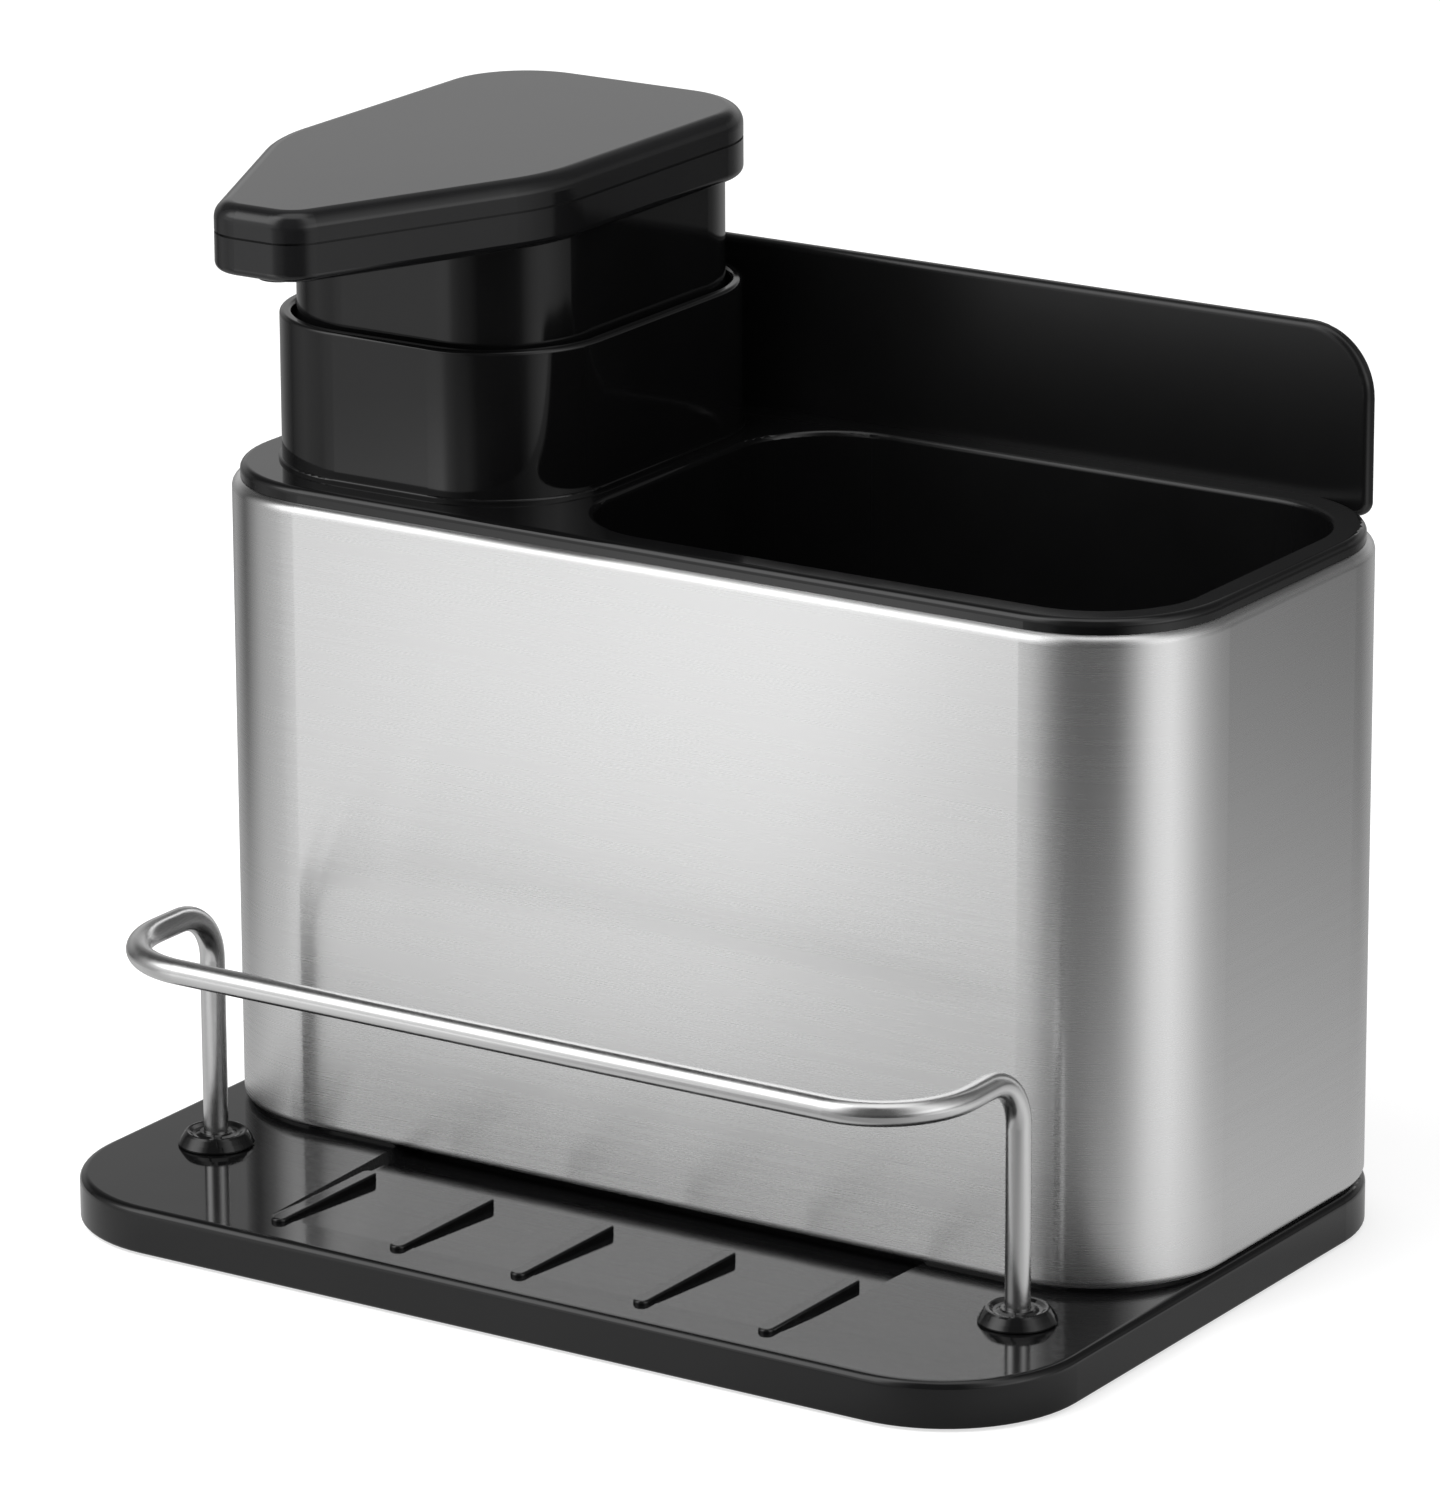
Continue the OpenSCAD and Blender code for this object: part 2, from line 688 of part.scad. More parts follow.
module top_insert() color([0.05, 0.05, 0.055]) {
    well_hang = sleeve_top - well_z;
    difference() {
        union() {
            soft_plate(inset_pts(body_pts, rim_in), inset_r(body_radii, rim_in), sleeve_top,
                rim_t, rim_edge_r, 0);
            difference() {
                prism(body_pts, body_radii, sleeve_top - rim_skirt_h, rim_skirt_h + lap,
                    rim_skirt_in);
                prism(body_pts, body_radii, sleeve_top - rim_skirt_h - lap,
                    rim_skirt_h + 3 * lap, rim_skirt_in + rim_skirt_w);
            }
            prism(well_pts, well_radii, well_z, well_hang + lap, -well_wall);
            at_each(boss_places) translate([0, 0, deck_z])
                cylinder(h = well_z - deck_z + lap, r = boss_r);
            at_each(post_places) translate([0, 0, deck_z])
                cylinder(h = sleeve_top - deck_z + lap, r = post_r);
            back_panel();
        }
        mouth_cut(well_pts, well_radii, well_z + well_floor, rim_z, well_mouth_r);
        prism(tank_pts, tank_radii, tank_z - lap, rim_z - tank_z + 2 * lap, -fit_gap);
        at_each(screw_places) translate([0, 0, deck_z - lap])
            cylinder(h = screw_l - base_t + screw_head_sink + 2 * lap, r = screw_r);
        for (i = [0:drain_nx - 1]) for (j = [0:drain_ny - 1])
            translate([well_x + (i - (drain_nx - 1) / 2) * drain_pitch,
                well_y + (j - (drain_ny - 1) / 2) * drain_pitch, well_z - lap])
                cylinder(h = well_floor + 2 * lap, r = drain_r);
    }
}

module soap_tank() color([0.05, 0.05, 0.055]) {
    difference() {
        union() {
            prism(tank_pts, tank_radii, tank_z, collar_z - lip_r - tank_z);
            translate([0, 0, ledge_z]) carry(tank_pts, tank_radii)
                lip_section(tank_wall, collar_z - ledge_z, lip_r);
            translate([0, 0, rim_z])
                carry(inset_pts(tank_pts, -flange_w), inset_r(tank_radii, -flange_w))
                    band(flange_w + lap, flange_h, flange_h / 2, 0);
        }
        prism(tank_pts, tank_radii, tank_z + tank_floor, ledge_z - tank_z, tank_wall + ledge_w);
        prism(tank_pts, tank_radii, ledge_z, collar_z - ledge_z + lap, tank_wall);
    }
}

// Section of an upright wall with a fully rounded top edge
module lip_section(w, h, r) {
    translate([-w, 0]) square([w, h - r]);
    translate([r - w, h - r]) square([w - 2 * r, r]);
    translate([-r, h - r]) circle(r = r);
    translate([r - w, h - r]) circle(r = r);
}

module wire_bend(r) {
    rotate_extrude(angle = 90) translate([r, 0]) circle(d = wire_d);
}

module rail_side() {
    foot = pad_h + leg_end_up;
    translate([-leg_x, leg_y, foot]) cylinder(h = bar_z - leg_bend_r - foot, d = wire_d);
    translate([-leg_x, leg_y - leg_bend_r, bar_z - leg_bend_r]) rotate([90, 0, 90])
        wire_bend(leg_bend_r);
    translate([-leg_x, leg_y - leg_bend_r, bar_z]) rotate([90, 0, 0])
        cylinder(h = leg_y - leg_bend_r - bar_y - bar_bend_r, d = wire_d);
    translate([bar_bend_r - leg_x, bar_y + bar_bend_r, bar_z]) rotate(180)
        wire_bend(bar_bend_r);
    translate([bar_bend_r - leg_x, bar_y, bar_z]) rotate([0, 90, 0])
        cylinder(h = leg_x - bar_bend_r, d = wire_d);
}

module rail_wire() color([0.8, 0.8, 0.82]) {
    rail_side();
    mirror([1, 0, 0]) rail_side();
}

module rail_grommets() color([0.04, 0.04, 0.04]) {
    at_each(leg_places) {
        difference() {
            translate([0, 0, deck_z]) rotate_extrude()
                polygon(concat([[0, 0]],
                    [for (s = grommet_shares) [s[0] * grommet_r, s[1] * grommet_h]],
                    [[0, grommet_h]]));
            translate([0, 0, deck_z - lap])
                cylinder(h = grommet_h + 2 * lap, r = wire_d / 2 + running_gap);
        }
        tube(shank_r, wire_d / 2 + running_gap, pad_h + clip_sink, base_t - clip_sink);
    }
}

module rail_clips() color([0.7, 0.7, 0.7]) {
    at_each(leg_places)
        tube(clip_r, wire_d / 2 + running_gap, pad_h + clip_sink - clip_t, clip_t);
}

module pump_plate() color([0.08, 0.08, 0.085]) {
    bottom = plate_top - plate_t;
    difference() {
        union() {
            prism(tank_pts, tank_radii, bottom, plate_t, tank_wall + gasket_gap);
            at_pump() translate([0, 0, bottom]) cylinder(h = plate_t + neck_h, r = neck_r);
        }
        at_pump() {
            translate([0, 0, bottom - lap])
                cylinder(h = plate_t + neck_h + 2 * lap, r = cylinder_r + running_gap);
            translate([0, vent_out, bottom - lap]) cylinder(h = plate_t + 2 * lap, r = vent_r);
        }
    }
}

module tank_gasket() color([0.75, 0.75, 0.72]) {
    difference() {
        prism(tank_pts, tank_radii, ledge_z, gasket_t, tank_wall + gasket_gap);
        prism(tank_pts, tank_radii, ledge_z - lap, gasket_t + 2 * lap, tank_wall + ledge_w);
    }
}

module pump_cylinder() color([0.88, 0.88, 0.86]) {
    at_pump() difference() {
        union() {
            translate([0, 0, chamber_z - chamber_floor])
                cylinder(h = cap_z - chamber_z + chamber_floor, r = cylinder_r);
            translate([0, 0, cylinder_top]) cylinder(h = rim_flange_t, r = rim_flange_r);
            translate([0, 0, spigot_z]) cylinder(h = spigot_l + lap, r = spigot_r);
        }
        translate([0, 0, chamber_z]) cylinder(h = cap_z - chamber_z + lap, r = bore_r);
        translate([0, 0, spigot_z]) cylinder(h = chamber_z - spigot_z + lap, r = foot_seat_r);
        translate([0, 0, spigot_z - lap]) cylinder(h = dip_push + lap, r = dip_r + running_gap);
    }
}

module guide_cap() color([0.1, 0.1, 0.1]) {
    cap_r = neck_r + cap_gap + cap_wall;
    at_pump() difference() {
        union() {
            translate([0, 0, plate_top + fit_gap])
                cylinder(h = spring_z - plate_top - fit_gap, r = cap_r);
            translate([0, 0, spring_z - lap]) cylinder(h = guide_h + lap, r = guide_r);
        }
        translate([0, 0, plate_top + fit_gap - lap])
            cylinder(h = cap_z - plate_top - fit_gap + lap, r = neck_r + cap_gap);
        translate([0, 0, cap_z - lap])
            cylinder(h = cap_top_t + guide_h + 2 * lap, r = stem_r + running_gap);
    }
}

module ball_cage() color([0.85, 0.85, 0.85]) {
    ring_r = bore_r - running_gap;
    at_pump() {
        tube(ring_r, ring_r - cage_ring_w, cage_z, cage_t);
        for (i = [0:cage_n - 1]) rotate(i * 360 / cage_n) {
            translate([0, -cage_arm_w / 2, cage_z])
                cube([ring_r - cage_ring_w / 2, cage_arm_w, cage_t]);
            translate([ring_r - cage_ring_w, -cage_arm_w / 2, chamber_z])
                cube([cage_ring_w - fit_gap, cage_arm_w, cage_z - chamber_z + lap]);
        }
    }
}

module foot_ball() color([0.8, 0.8, 0.8]) {
    at_pump() translate([0, 0, chamber_z + foot_ball_up]) sphere(r = foot_ball_r);
}

module dip_tube() color([0.9, 0.9, 0.88]) {
    foot = tank_z + tank_floor + dip_short;
    at_pump() tube(dip_r, dip_r - dip_wall, foot, spigot_z + dip_push - foot);
}

module pump_stem() color([0.85, 0.85, 0.85]) {
    foot = piston_z + piston_floor;
    at_pump() difference() {
        translate([0, 0, foot]) cylinder(h = stem_top - foot, r = stem_r);
        translate([0, 0, foot - lap]) cylinder(h = stem_top - foot + 2 * lap, r = stem_bore_r);
        translate([0, 0, valve_z]) cylinder(h = valve_depth + lap, r = valve_r);
    }
}

module piston() color([0.9, 0.9, 0.9]) {
    top_r = bore_r - running_gap;
    groove_r = bore_r - running_gap - 2 * seal_wire_r;
    at_pump() difference() {
        union() {
            translate([0, 0, piston_z]) cylinder(h = piston_h, r = piston_body_r);
            translate([0, 0, piston_z]) cylinder(h = piston_lip_h, r = top_r);
            translate([0, 0, piston_z + piston_h - piston_lip_h])
                cylinder(h = piston_lip_h, r = top_r);
        }
        tube(bore_r, groove_r - running_gap, piston_z + (piston_h - seal_groove_h) / 2,
            seal_groove_h);
        translate([0, 0, piston_z + piston_floor])
            cylinder(h = piston_h, r = stem_r + running_gap);
        translate([0, 0, piston_z - lap])
            cylinder(h = piston_floor + 2 * lap, r = piston_inlet_r);
    }
}

module piston_seal() color([0.1, 0.1, 0.1]) {
    at_pump() translate([0, 0, piston_z + piston_h / 2]) rotate_extrude()
        translate([bore_r - running_gap - seal_wire_r, 0]) circle(r = seal_wire_r);
}

module outlet_ball() color([0.8, 0.8, 0.8]) {
    at_pump() translate([0, 0, valve_z + outlet_ball_up]) sphere(r = outlet_ball_r);
}

// Helix of the return spring, as one tube of six sides
module return_spring() color([0.7, 0.7, 0.72]) {
    sides = 6;
    steps = 12;
    rings = spring_turns * steps;
    low = spring_z + spring_end + spring_wire_r;
    high = head_z - spring_end - spring_wire_r;
    points = [for (k = [0:rings]) for (j = [0:sides - 1])
        let (a = 360 * k / steps, b = 360 * j / sides, r = spring_r + spring_wire_r * cos(b))
        [r * cos(a), r * sin(a), low + (high - low) * k / rings + spring_wire_r * sin(b)]];
    walls = [for (k = [0:rings - 1]) for (j = [0:sides - 1])
        let (p = k * sides + j, q = k * sides + (j + 1) % sides)
        each [[p, q + sides, q], [p, p + sides, q + sides]]];
    start = [for (j = [1:sides - 2]) [0, j, j + 1]];
    stop = [for (j = [1:sides - 2]) [rings * sides, rings * sides + j + 1, rings * sides + j]];
    at_pump() polyhedron(points = points, faces = concat(walls, start, stop));
}

module press_tray() color([0.07, 0.07, 0.07]) {
    difference() {
        union() {
            soft_plate(plate_pts, plate_radii, head_z, tray_t - groove_h, 0, tray_foot_r,
                slant_tuck);
            prism(plate_pts, plate_radii, head_z + plate_wall, tray_t - plate_wall, groove_w,
                slant_tuck);
        }
        prism(plate_pts, plate_radii, plate_floor_z, tray_t, plate_wall, slant_tuck);
        at_pump() {
            translate([0, 0, head_z - lap]) cylinder(h = tray_t, r = stem_r + running_gap);
            translate([0, nozzle_y, head_z - lap]) cylinder(h = tray_t, r = nozzle_r + fit_gap);
            at_each(head_screw_places) translate([0, 0, head_z - lap])
                cylinder(h = tray_t, r = head_screw_r + fit_gap);
        }
    }
    at_pump() tube(socket_r, stem_r + running_gap, head_z - socket_h, socket_h + plate_wall);
}

module press_cover() color([0.16, 0.16, 0.165]) {
    rim_out = plate_wall + fit_gap;
    difference() {
        union() {
            soft_plate(plate_pts, plate_radii, parting_z, cover_t, cover_edge_r, 0, slant_tuck);
            prism(plate_pts, plate_radii, parting_z - spigot_rim_h, spigot_rim_h + lap, rim_out,
                slant_tuck);
        }
        prism(plate_pts, plate_radii, parting_z - spigot_rim_h - lap,
            spigot_rim_h + lap + cover_t - plate_wall, rim_out + spigot_rim_w, slant_tuck);
    }
}

module plunger_skirt() color([0.05, 0.05, 0.055]) {
    height = head_z - skirt_z;
    difference() {
        union() {
            difference() {
                prism(skirt_pts, skirt_radii, skirt_z, height);
                prism(skirt_pts, skirt_radii, skirt_z - lap, height - skirt_top_t + lap,
                    skirt_wall);
            }
            at_pump() at_each(head_screw_places) translate([0, 0, head_z - head_boss_h])
                cylinder(h = head_boss_h, r = head_boss_r);
        }
        prism(skirt_pts, skirt_radii, head_z - skirt_top_t - lap, skirt_top_t + 2 * lap,
            skirt_wall + skirt_top_w + head_boss_r);
        at_pump() at_each(head_screw_places) translate([0, 0, head_z - head_screw_l])
            cylinder(h = head_screw_l + lap, r = head_screw_r + running_gap);
    }
}

module head_screws() color([0.6, 0.6, 0.62]) {
    at_pump() at_each(head_screw_places) {
        translate([0, 0, plate_floor_z - head_screw_l])
            cylinder(h = head_screw_l + lap, r = head_screw_r);
        translate([0, 0, plate_floor_z]) difference() {
            cylinder(h = head_screw_head_h, r = head_screw_head_r);
            for (a = [0, 90]) rotate(a)
                translate([-screw_cross_l / 2, -screw_cross_w / 2, head_screw_head_h / 2])
                    cube([screw_cross_l, screw_cross_w, head_screw_head_h]);
        }
    }
}

module delivery_channel() color([0.85, 0.85, 0.83]) {
    crown = channel_z + channel_r + channel_crown;
    at_pump() difference() {
        union() {
            translate([0, 0, plate_floor_z]) cylinder(h = crown - plate_floor_z, r = channel_socket_r);
            translate([0, 0, channel_z]) rotate([90, 0, 0]) cylinder(h = -nozzle_y, r = channel_r);
            translate([0, nozzle_y, plate_floor_z])
                cylinder(h = crown - plate_floor_z, r = elbow_r);
        }
        translate([0, nozzle_y, plate_floor_z - lap])
            cylinder(h = nozzle_flange_t + lap, r = nozzle_flange_r + fit_gap);
        translate([0, 0, plate_floor_z - lap])
            cylinder(h = stem_up + fit_gap + lap, r = stem_r + running_gap);
        translate([0, 0, plate_floor_z]) cylinder(h = channel_z - plate_floor_z, r = riser_bore_r);
        translate([0, 0, channel_z]) rotate([90, 0, 0])
            cylinder(h = -nozzle_y, r = channel_bore_r);
        translate([0, nozzle_y, plate_floor_z])
            cylinder(h = channel_z - plate_floor_z, r = riser_bore_r);
    }
}

module nozzle_tip() color([0.06, 0.06, 0.06]) {
    at_pump() translate([0, nozzle_y]) {
        tube(nozzle_r, nozzle_bore_r, head_z - nozzle_out, plate_wall + nozzle_out);
        tube(nozzle_flange_r, nozzle_bore_r, plate_floor_z, nozzle_flange_t);
    }
}

base_tray();
base_pads();
case_screws();
steel_sleeve();
top_insert();
soap_tank();
rail_wire();
rail_grommets();
rail_clips();
pump_plate();
tank_gasket();
pump_cylinder();
guide_cap();
ball_cage();
foot_ball();
dip_tube();
pump_stem();
piston();
piston_seal();
outlet_ball();
return_spring();
press_tray();
press_cover();
plunger_skirt();
head_screws();
delivery_channel();
nozzle_tip();
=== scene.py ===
"""Soap pump caddy: finishes, fine parts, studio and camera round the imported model."""
import math

import bpy
from bpy.props import FloatProperty, FloatVectorProperty, IntProperty, PointerProperty
from mathutils import Euler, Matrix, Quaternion, Vector


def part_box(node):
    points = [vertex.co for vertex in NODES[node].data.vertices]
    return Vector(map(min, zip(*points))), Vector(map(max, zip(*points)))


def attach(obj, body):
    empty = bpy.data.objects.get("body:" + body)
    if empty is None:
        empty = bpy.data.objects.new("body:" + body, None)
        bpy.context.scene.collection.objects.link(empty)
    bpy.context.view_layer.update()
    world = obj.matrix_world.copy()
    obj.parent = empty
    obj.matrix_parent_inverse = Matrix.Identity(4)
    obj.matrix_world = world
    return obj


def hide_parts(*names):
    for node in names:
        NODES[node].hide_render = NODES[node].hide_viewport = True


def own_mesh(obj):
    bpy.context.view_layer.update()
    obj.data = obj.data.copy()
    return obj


bl_info = {
    "name": "Soap Pump Caddy",
    "version": (1, 0, 0),
    "blender": (4, 5, 0),
    "location": "View3D > Sidebar > Caddy",
    "description": "Dresses the packed soap pump caddy with its finishes, studio and camera",
    "category": "Object",
}

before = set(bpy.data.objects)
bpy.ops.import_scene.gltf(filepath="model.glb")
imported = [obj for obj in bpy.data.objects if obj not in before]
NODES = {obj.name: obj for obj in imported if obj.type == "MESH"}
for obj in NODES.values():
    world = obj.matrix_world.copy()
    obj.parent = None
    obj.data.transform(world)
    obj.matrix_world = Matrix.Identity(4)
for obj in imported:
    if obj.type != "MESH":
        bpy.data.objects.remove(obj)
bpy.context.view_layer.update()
MM = 0.001

# Places (y) between which the insert's rim turns into the panel at its back
PANEL_START, PANEL_FULL = 0.046, 0.052

# Colours of the pieces that the settings leave alone
PUMP_BLACK = (0.012, 0.012, 0.013)
MILKY = (0.72, 0.72, 0.68)
GASKET_GREY = (0.35, 0.35, 0.33)
PAD_BLACK = (0.02, 0.02, 0.02)
WIRE_GREY = (0.72, 0.72, 0.72)
BALL_GREY = (0.7, 0.7, 0.7)
SPRING_GREY = (0.6, 0.6, 0.6)
ZINC = (0.62, 0.62, 0.63)

# Lowest and highest roughness of each finish
GLOSS_ROUGH = (0.06, 0.1)
GROMMET_ROUGH = (0.03, 0.06)
SATIN_ROUGH = (0.09, 0.13)
PUMP_ROUGH = (0.35, 0.45)
MILKY_ROUGH = (0.3, 0.4)
GASKET_ROUGH = (0.5, 0.6)
PAD_ROUGH = (0.6, 0.75)
WIRE_ROUGH = (0.2, 0.27)
BALL_ROUGH = (0.05, 0.08)
SPRING_ROUGH = (0.22, 0.3)
ZINC_ROUGH = (0.25, 0.35)
STEEL_ROUGH_SPREAD = 0.015

# Depths of the bump of each finish
MOULD_DEPTH = 0.02 * MM
GROMMET_DEPTH = 0.008 * MM
SATIN_DEPTH = 0.012 * MM
PAD_DEPTH = 0.03 * MM
STEEL_DEPTH = 0.00015 * MM
WIRE_DEPTH = 0.0004 * MM
BALL_DEPTH = 0.0003 * MM
PLATED_DEPTH = 0.001 * MM

# Plastics: refractive index, scale of the waves, scale of the handling marks, the marks' range
# in the noise, and how far they darken and lighten the colour
PLASTIC_IOR = 1.5
WAVE_SCALE = 60.0
MARK_SCALE = 38.0
MARK_LOW, MARK_HIGH = 0.35, 0.68
MARK_SHARE = 0.15
# Metals: layers of grain, each a share of the scale and a detail, and the range of their sum
GRAIN_LAYERS = ((1.0, 3.0), (0.31, 2.0))
STREAK_LOW, STREAK_HIGH = 0.7, 1.3
# The steel's grain: long round the sleeve, fine up it
STEEL_GRAIN = (55.0, 55.0, 5200.0)
# Edges flatter than this are shaded smooth
SMOOTH_ANGLE = math.radians(50)


# Helpers for shader nodes
def material(name):
    """A new material with its Principled BSDF."""
    mat = bpy.data.materials.new(name)
    mat.use_nodes = True
    return mat, mat.node_tree, mat.node_tree.nodes["Principled BSDF"]


def add(tree, kind, **values):
    """A node of a kind. Names of settings are set on it, names of sockets on its inputs."""
    node = tree.nodes.new(kind)
    for key, value in values.items():
        if hasattr(node, key):
            setattr(node, key, value)
        else:
            node.inputs[key.replace("_", " ")].default_value = value
    return node


def link(tree, source, target):
    """Joins an output to an input."""
    tree.links.new(source, target)


def ramp(tree, fac, stops):
    """A colour ramp of grey stops: (place, grey)."""
    node = tree.nodes.new("ShaderNodeValToRGB")
    node.color_ramp.interpolation = "LINEAR"
    elements = node.color_ramp.elements
    while len(elements) < len(stops):
        elements.new(0.5)
    for element, (place, grey) in zip(elements, stops):
        element.position = place
        element.color = (grey, grey, grey, 1)
    link(tree, fac, node.inputs["Fac"])
    return node.outputs["Color"]


def group(name, inputs, outputs):
    """An empty node group with its sockets: name -> default (a number or a vector)."""
    tree = bpy.data.node_groups.new(name, "ShaderNodeTree")
    for way, sockets in (("INPUT", inputs), ("OUTPUT", outputs)):
        for label, default in sockets.items():
            kind = "NodeSocketVector" if isinstance(default, tuple) else "NodeSocketFloat"
            item = tree.interface.new_socket(name=label, in_out=way, socket_type=kind)
            item.default_value = default
    return tree, tree.nodes.new("NodeGroupInput"), tree.nodes.new("NodeGroupOutput")


def use(tree, effect, **values):
    """A node of a shared effect. Names of sockets are set on its inputs."""
    node = tree.nodes.new("ShaderNodeGroup")
    node.node_tree = effect
    for key, value in values.items():
        node.inputs[key.replace("_", " ")].default_value = value
    return node


# Effects that several finishes share
def moulded_skin():
    """Faint waves, fine grain and handling marks of a moulded surface."""
    tree, into, out = group(
        "Moulded Skin",
        {"Grain Scale": 4000.0, "Grain Height": 0.0,
         "Low Roughness": 0.06, "High Roughness": 0.12},
        {"Roughness": 0.1, "Height": 0.0, "Mask": 0.0})
    place = add(tree, "ShaderNodeTexCoord").outputs["Object"]
    waves = add(tree, "ShaderNodeTexNoise", Scale=WAVE_SCALE, Detail=1.0, Roughness=0.4)
    grain = add(tree, "ShaderNodeTexNoise", Detail=2.0, Roughness=0.6)
    marks = add(tree, "ShaderNodeTexNoise", Scale=MARK_SCALE, Detail=5.0, Roughness=0.62)
    for node in (waves, grain, marks):
        link(tree, place, node.inputs["Vector"])
    link(tree, into.outputs["Grain Scale"], grain.inputs["Scale"])
    height = add(tree, "ShaderNodeMath", operation="MULTIPLY_ADD")
    link(tree, grain.outputs["Fac"], height.inputs[0])
    link(tree, into.outputs["Grain Height"], height.inputs[1])
    link(tree, waves.outputs["Fac"], height.inputs[2])
    link(tree, height.outputs[0], out.inputs["Height"])
    soft = add(tree, "ShaderNodeMapRange", From_Min=MARK_LOW, From_Max=MARK_HIGH)
    link(tree, marks.outputs["Fac"], soft.inputs["Value"])
    link(tree, soft.outputs["Result"], out.inputs["Mask"])
    rough = add(tree, "ShaderNodeMapRange")
    link(tree, soft.outputs["Result"], rough.inputs["Value"])
    link(tree, into.outputs["Low Roughness"], rough.inputs["To Min"])
    link(tree, into.outputs["High Roughness"], rough.inputs["To Max"])
    link(tree, rough.outputs["Result"], out.inputs["Roughness"])
    return tree


def drawn_grain():
    """Fine scratches. They are long where a part of the vector Scale is small."""
    tree, into, out = group(
        "Drawn Grain",
        {"Scale": (60.0, 60.0, 5200.0), "Low Roughness": 0.36, "High Roughness": 0.46},
        {"Streaks": 0.5, "Roughness": 0.4})
    place = add(tree, "ShaderNodeTexCoord").outputs["Object"]
    layers = []
    for share, detail in GRAIN_LAYERS:
        size = add(tree, "ShaderNodeVectorMath", operation="SCALE", Scale=share)
        link(tree, into.outputs["Scale"], size.inputs[0])
        grow = add(tree, "ShaderNodeVectorMath", operation="MULTIPLY")
        link(tree, place, grow.inputs[0])
        link(tree, size.outputs[0], grow.inputs[1])
        noise = add(tree, "ShaderNodeTexNoise", Scale=1.0, Detail=detail, Roughness=0.6)
        link(tree, grow.outputs[0], noise.inputs["Vector"])
        layers.append(noise.outputs["Fac"])
    both = add(tree, "ShaderNodeMath", operation="ADD")
    for layer, socket in zip(layers, both.inputs):
        link(tree, layer, socket)
    streaks = add(tree, "ShaderNodeMapRange", From_Min=STREAK_LOW, From_Max=STREAK_HIGH)
    link(tree, both.outputs[0], streaks.inputs["Value"])
    link(tree, streaks.outputs["Result"], out.inputs["Streaks"])
    rough = add(tree, "ShaderNodeMapRange")
    link(tree, streaks.outputs["Result"], rough.inputs["Value"])
    link(tree, into.outputs["Low Roughness"], rough.inputs["To Min"])
    link(tree, into.outputs["High Roughness"], rough.inputs["To Max"])
    link(tree, rough.outputs["Result"], out.inputs["Roughness"])
    return tree


def tint(tree, mask, low, high, target):
    """Mixes two colours by a mask and links the result to a socket."""
    mix = tree.nodes.new("ShaderNodeMix")
    mix.data_type = "RGBA"
    mix.inputs["A"].default_value = (*low, 1)
    mix.inputs["B"].default_value = (*high, 1)
    link(tree, mask, mix.inputs["Factor"])
    link(tree, mix.outputs["Result"], target)


def bump(tree, height, bsdf, depth):
    """Bumps a material's surface by a height, as deep as depth."""
    node = add(tree, "ShaderNodeBump", Strength=1.0, Distance=depth)
    link(tree, height, node.inputs["Height"])
    link(tree, node.outputs["Normal"], bsdf.inputs["Normal"])


# Finishes
def plastic(name, colour, rough, depth, grain=(4000.0, 0.0)):
    """A moulded plastic: rough is its (low, high) roughness, grain its (scale, share of depth)."""
    mat, tree, bsdf = material(name)
    node = use(tree, shared("Moulded Skin", moulded_skin),
               Grain_Scale=grain[0], Grain_Height=grain[1],
               Low_Roughness=rough[0], High_Roughness=rough[1])
    bsdf.inputs["IOR"].default_value = PLASTIC_IOR
    link(tree, node.outputs["Roughness"], bsdf.inputs["Roughness"])
    tint(tree, node.outputs["Mask"], [c * (1 - MARK_SHARE) for c in colour],
         [c * (1 + MARK_SHARE) for c in colour], bsdf.inputs["Base Color"])
    bump(tree, node.outputs["Height"], bsdf, depth)
    return mat


def soften_panel(mat, rough):
    """Makes the upright panel at the back of a moulding less glossy than the rest of it."""
    tree, bsdf = mat.node_tree, mat.node_tree.nodes["Principled BSDF"]
    place = add(tree, "ShaderNodeSeparateXYZ")
    link(tree, add(tree, "ShaderNodeTexCoord").outputs["Object"], place.inputs[0])
    share = add(tree, "ShaderNodeMapRange", From_Min=PANEL_START, From_Max=PANEL_FULL)
    link(tree, place.outputs["Y"], share.inputs["Value"])
    mix = tree.nodes.new("ShaderNodeMix")
    link(tree, share.outputs["Result"], mix.inputs["Factor"])
    link(tree, bsdf.inputs["Roughness"].links[0].from_socket, mix.inputs["A"])
    mix.inputs["B"].default_value = rough
    link(tree, mix.outputs["Result"], bsdf.inputs["Roughness"])


def metal(name, colour, rough, scale, contrast, depth, spread=0.0, turn=0.0):
    """A worked metal: scale is the grain's, rough its (low, high) roughness, contrast the share
    by which the streaks lighten and darken it, spread and turn its anisotropy."""
    mat, tree, bsdf = material(name)
    bsdf.inputs["Metallic"].default_value = 1.0
    bsdf.inputs["Anisotropic"].default_value = spread
    bsdf.inputs["Anisotropic Rotation"].default_value = turn
    node = use(tree, shared("Drawn Grain", drawn_grain), Scale=scale,
               Low_Roughness=rough[0], High_Roughness=rough[1])
    link(tree, node.outputs["Roughness"], bsdf.inputs["Roughness"])
    tint(tree, node.outputs["Streaks"], [c * (1 - contrast) for c in colour],
         [min(c * (1 + contrast), 1) for c in colour], bsdf.inputs["Base Color"])
    bump(tree, node.outputs["Streaks"], bsdf, depth)
    if spread:
        along = add(tree, "ShaderNodeTangent", direction_type="RADIAL", axis="Z")
        link(tree, along.outputs["Tangent"], bsdf.inputs["Tangent"])
    return mat


def shared(name, make):
    """A node group by name, made when it is first asked for."""
    return bpy.data.node_groups.get(name) or make()


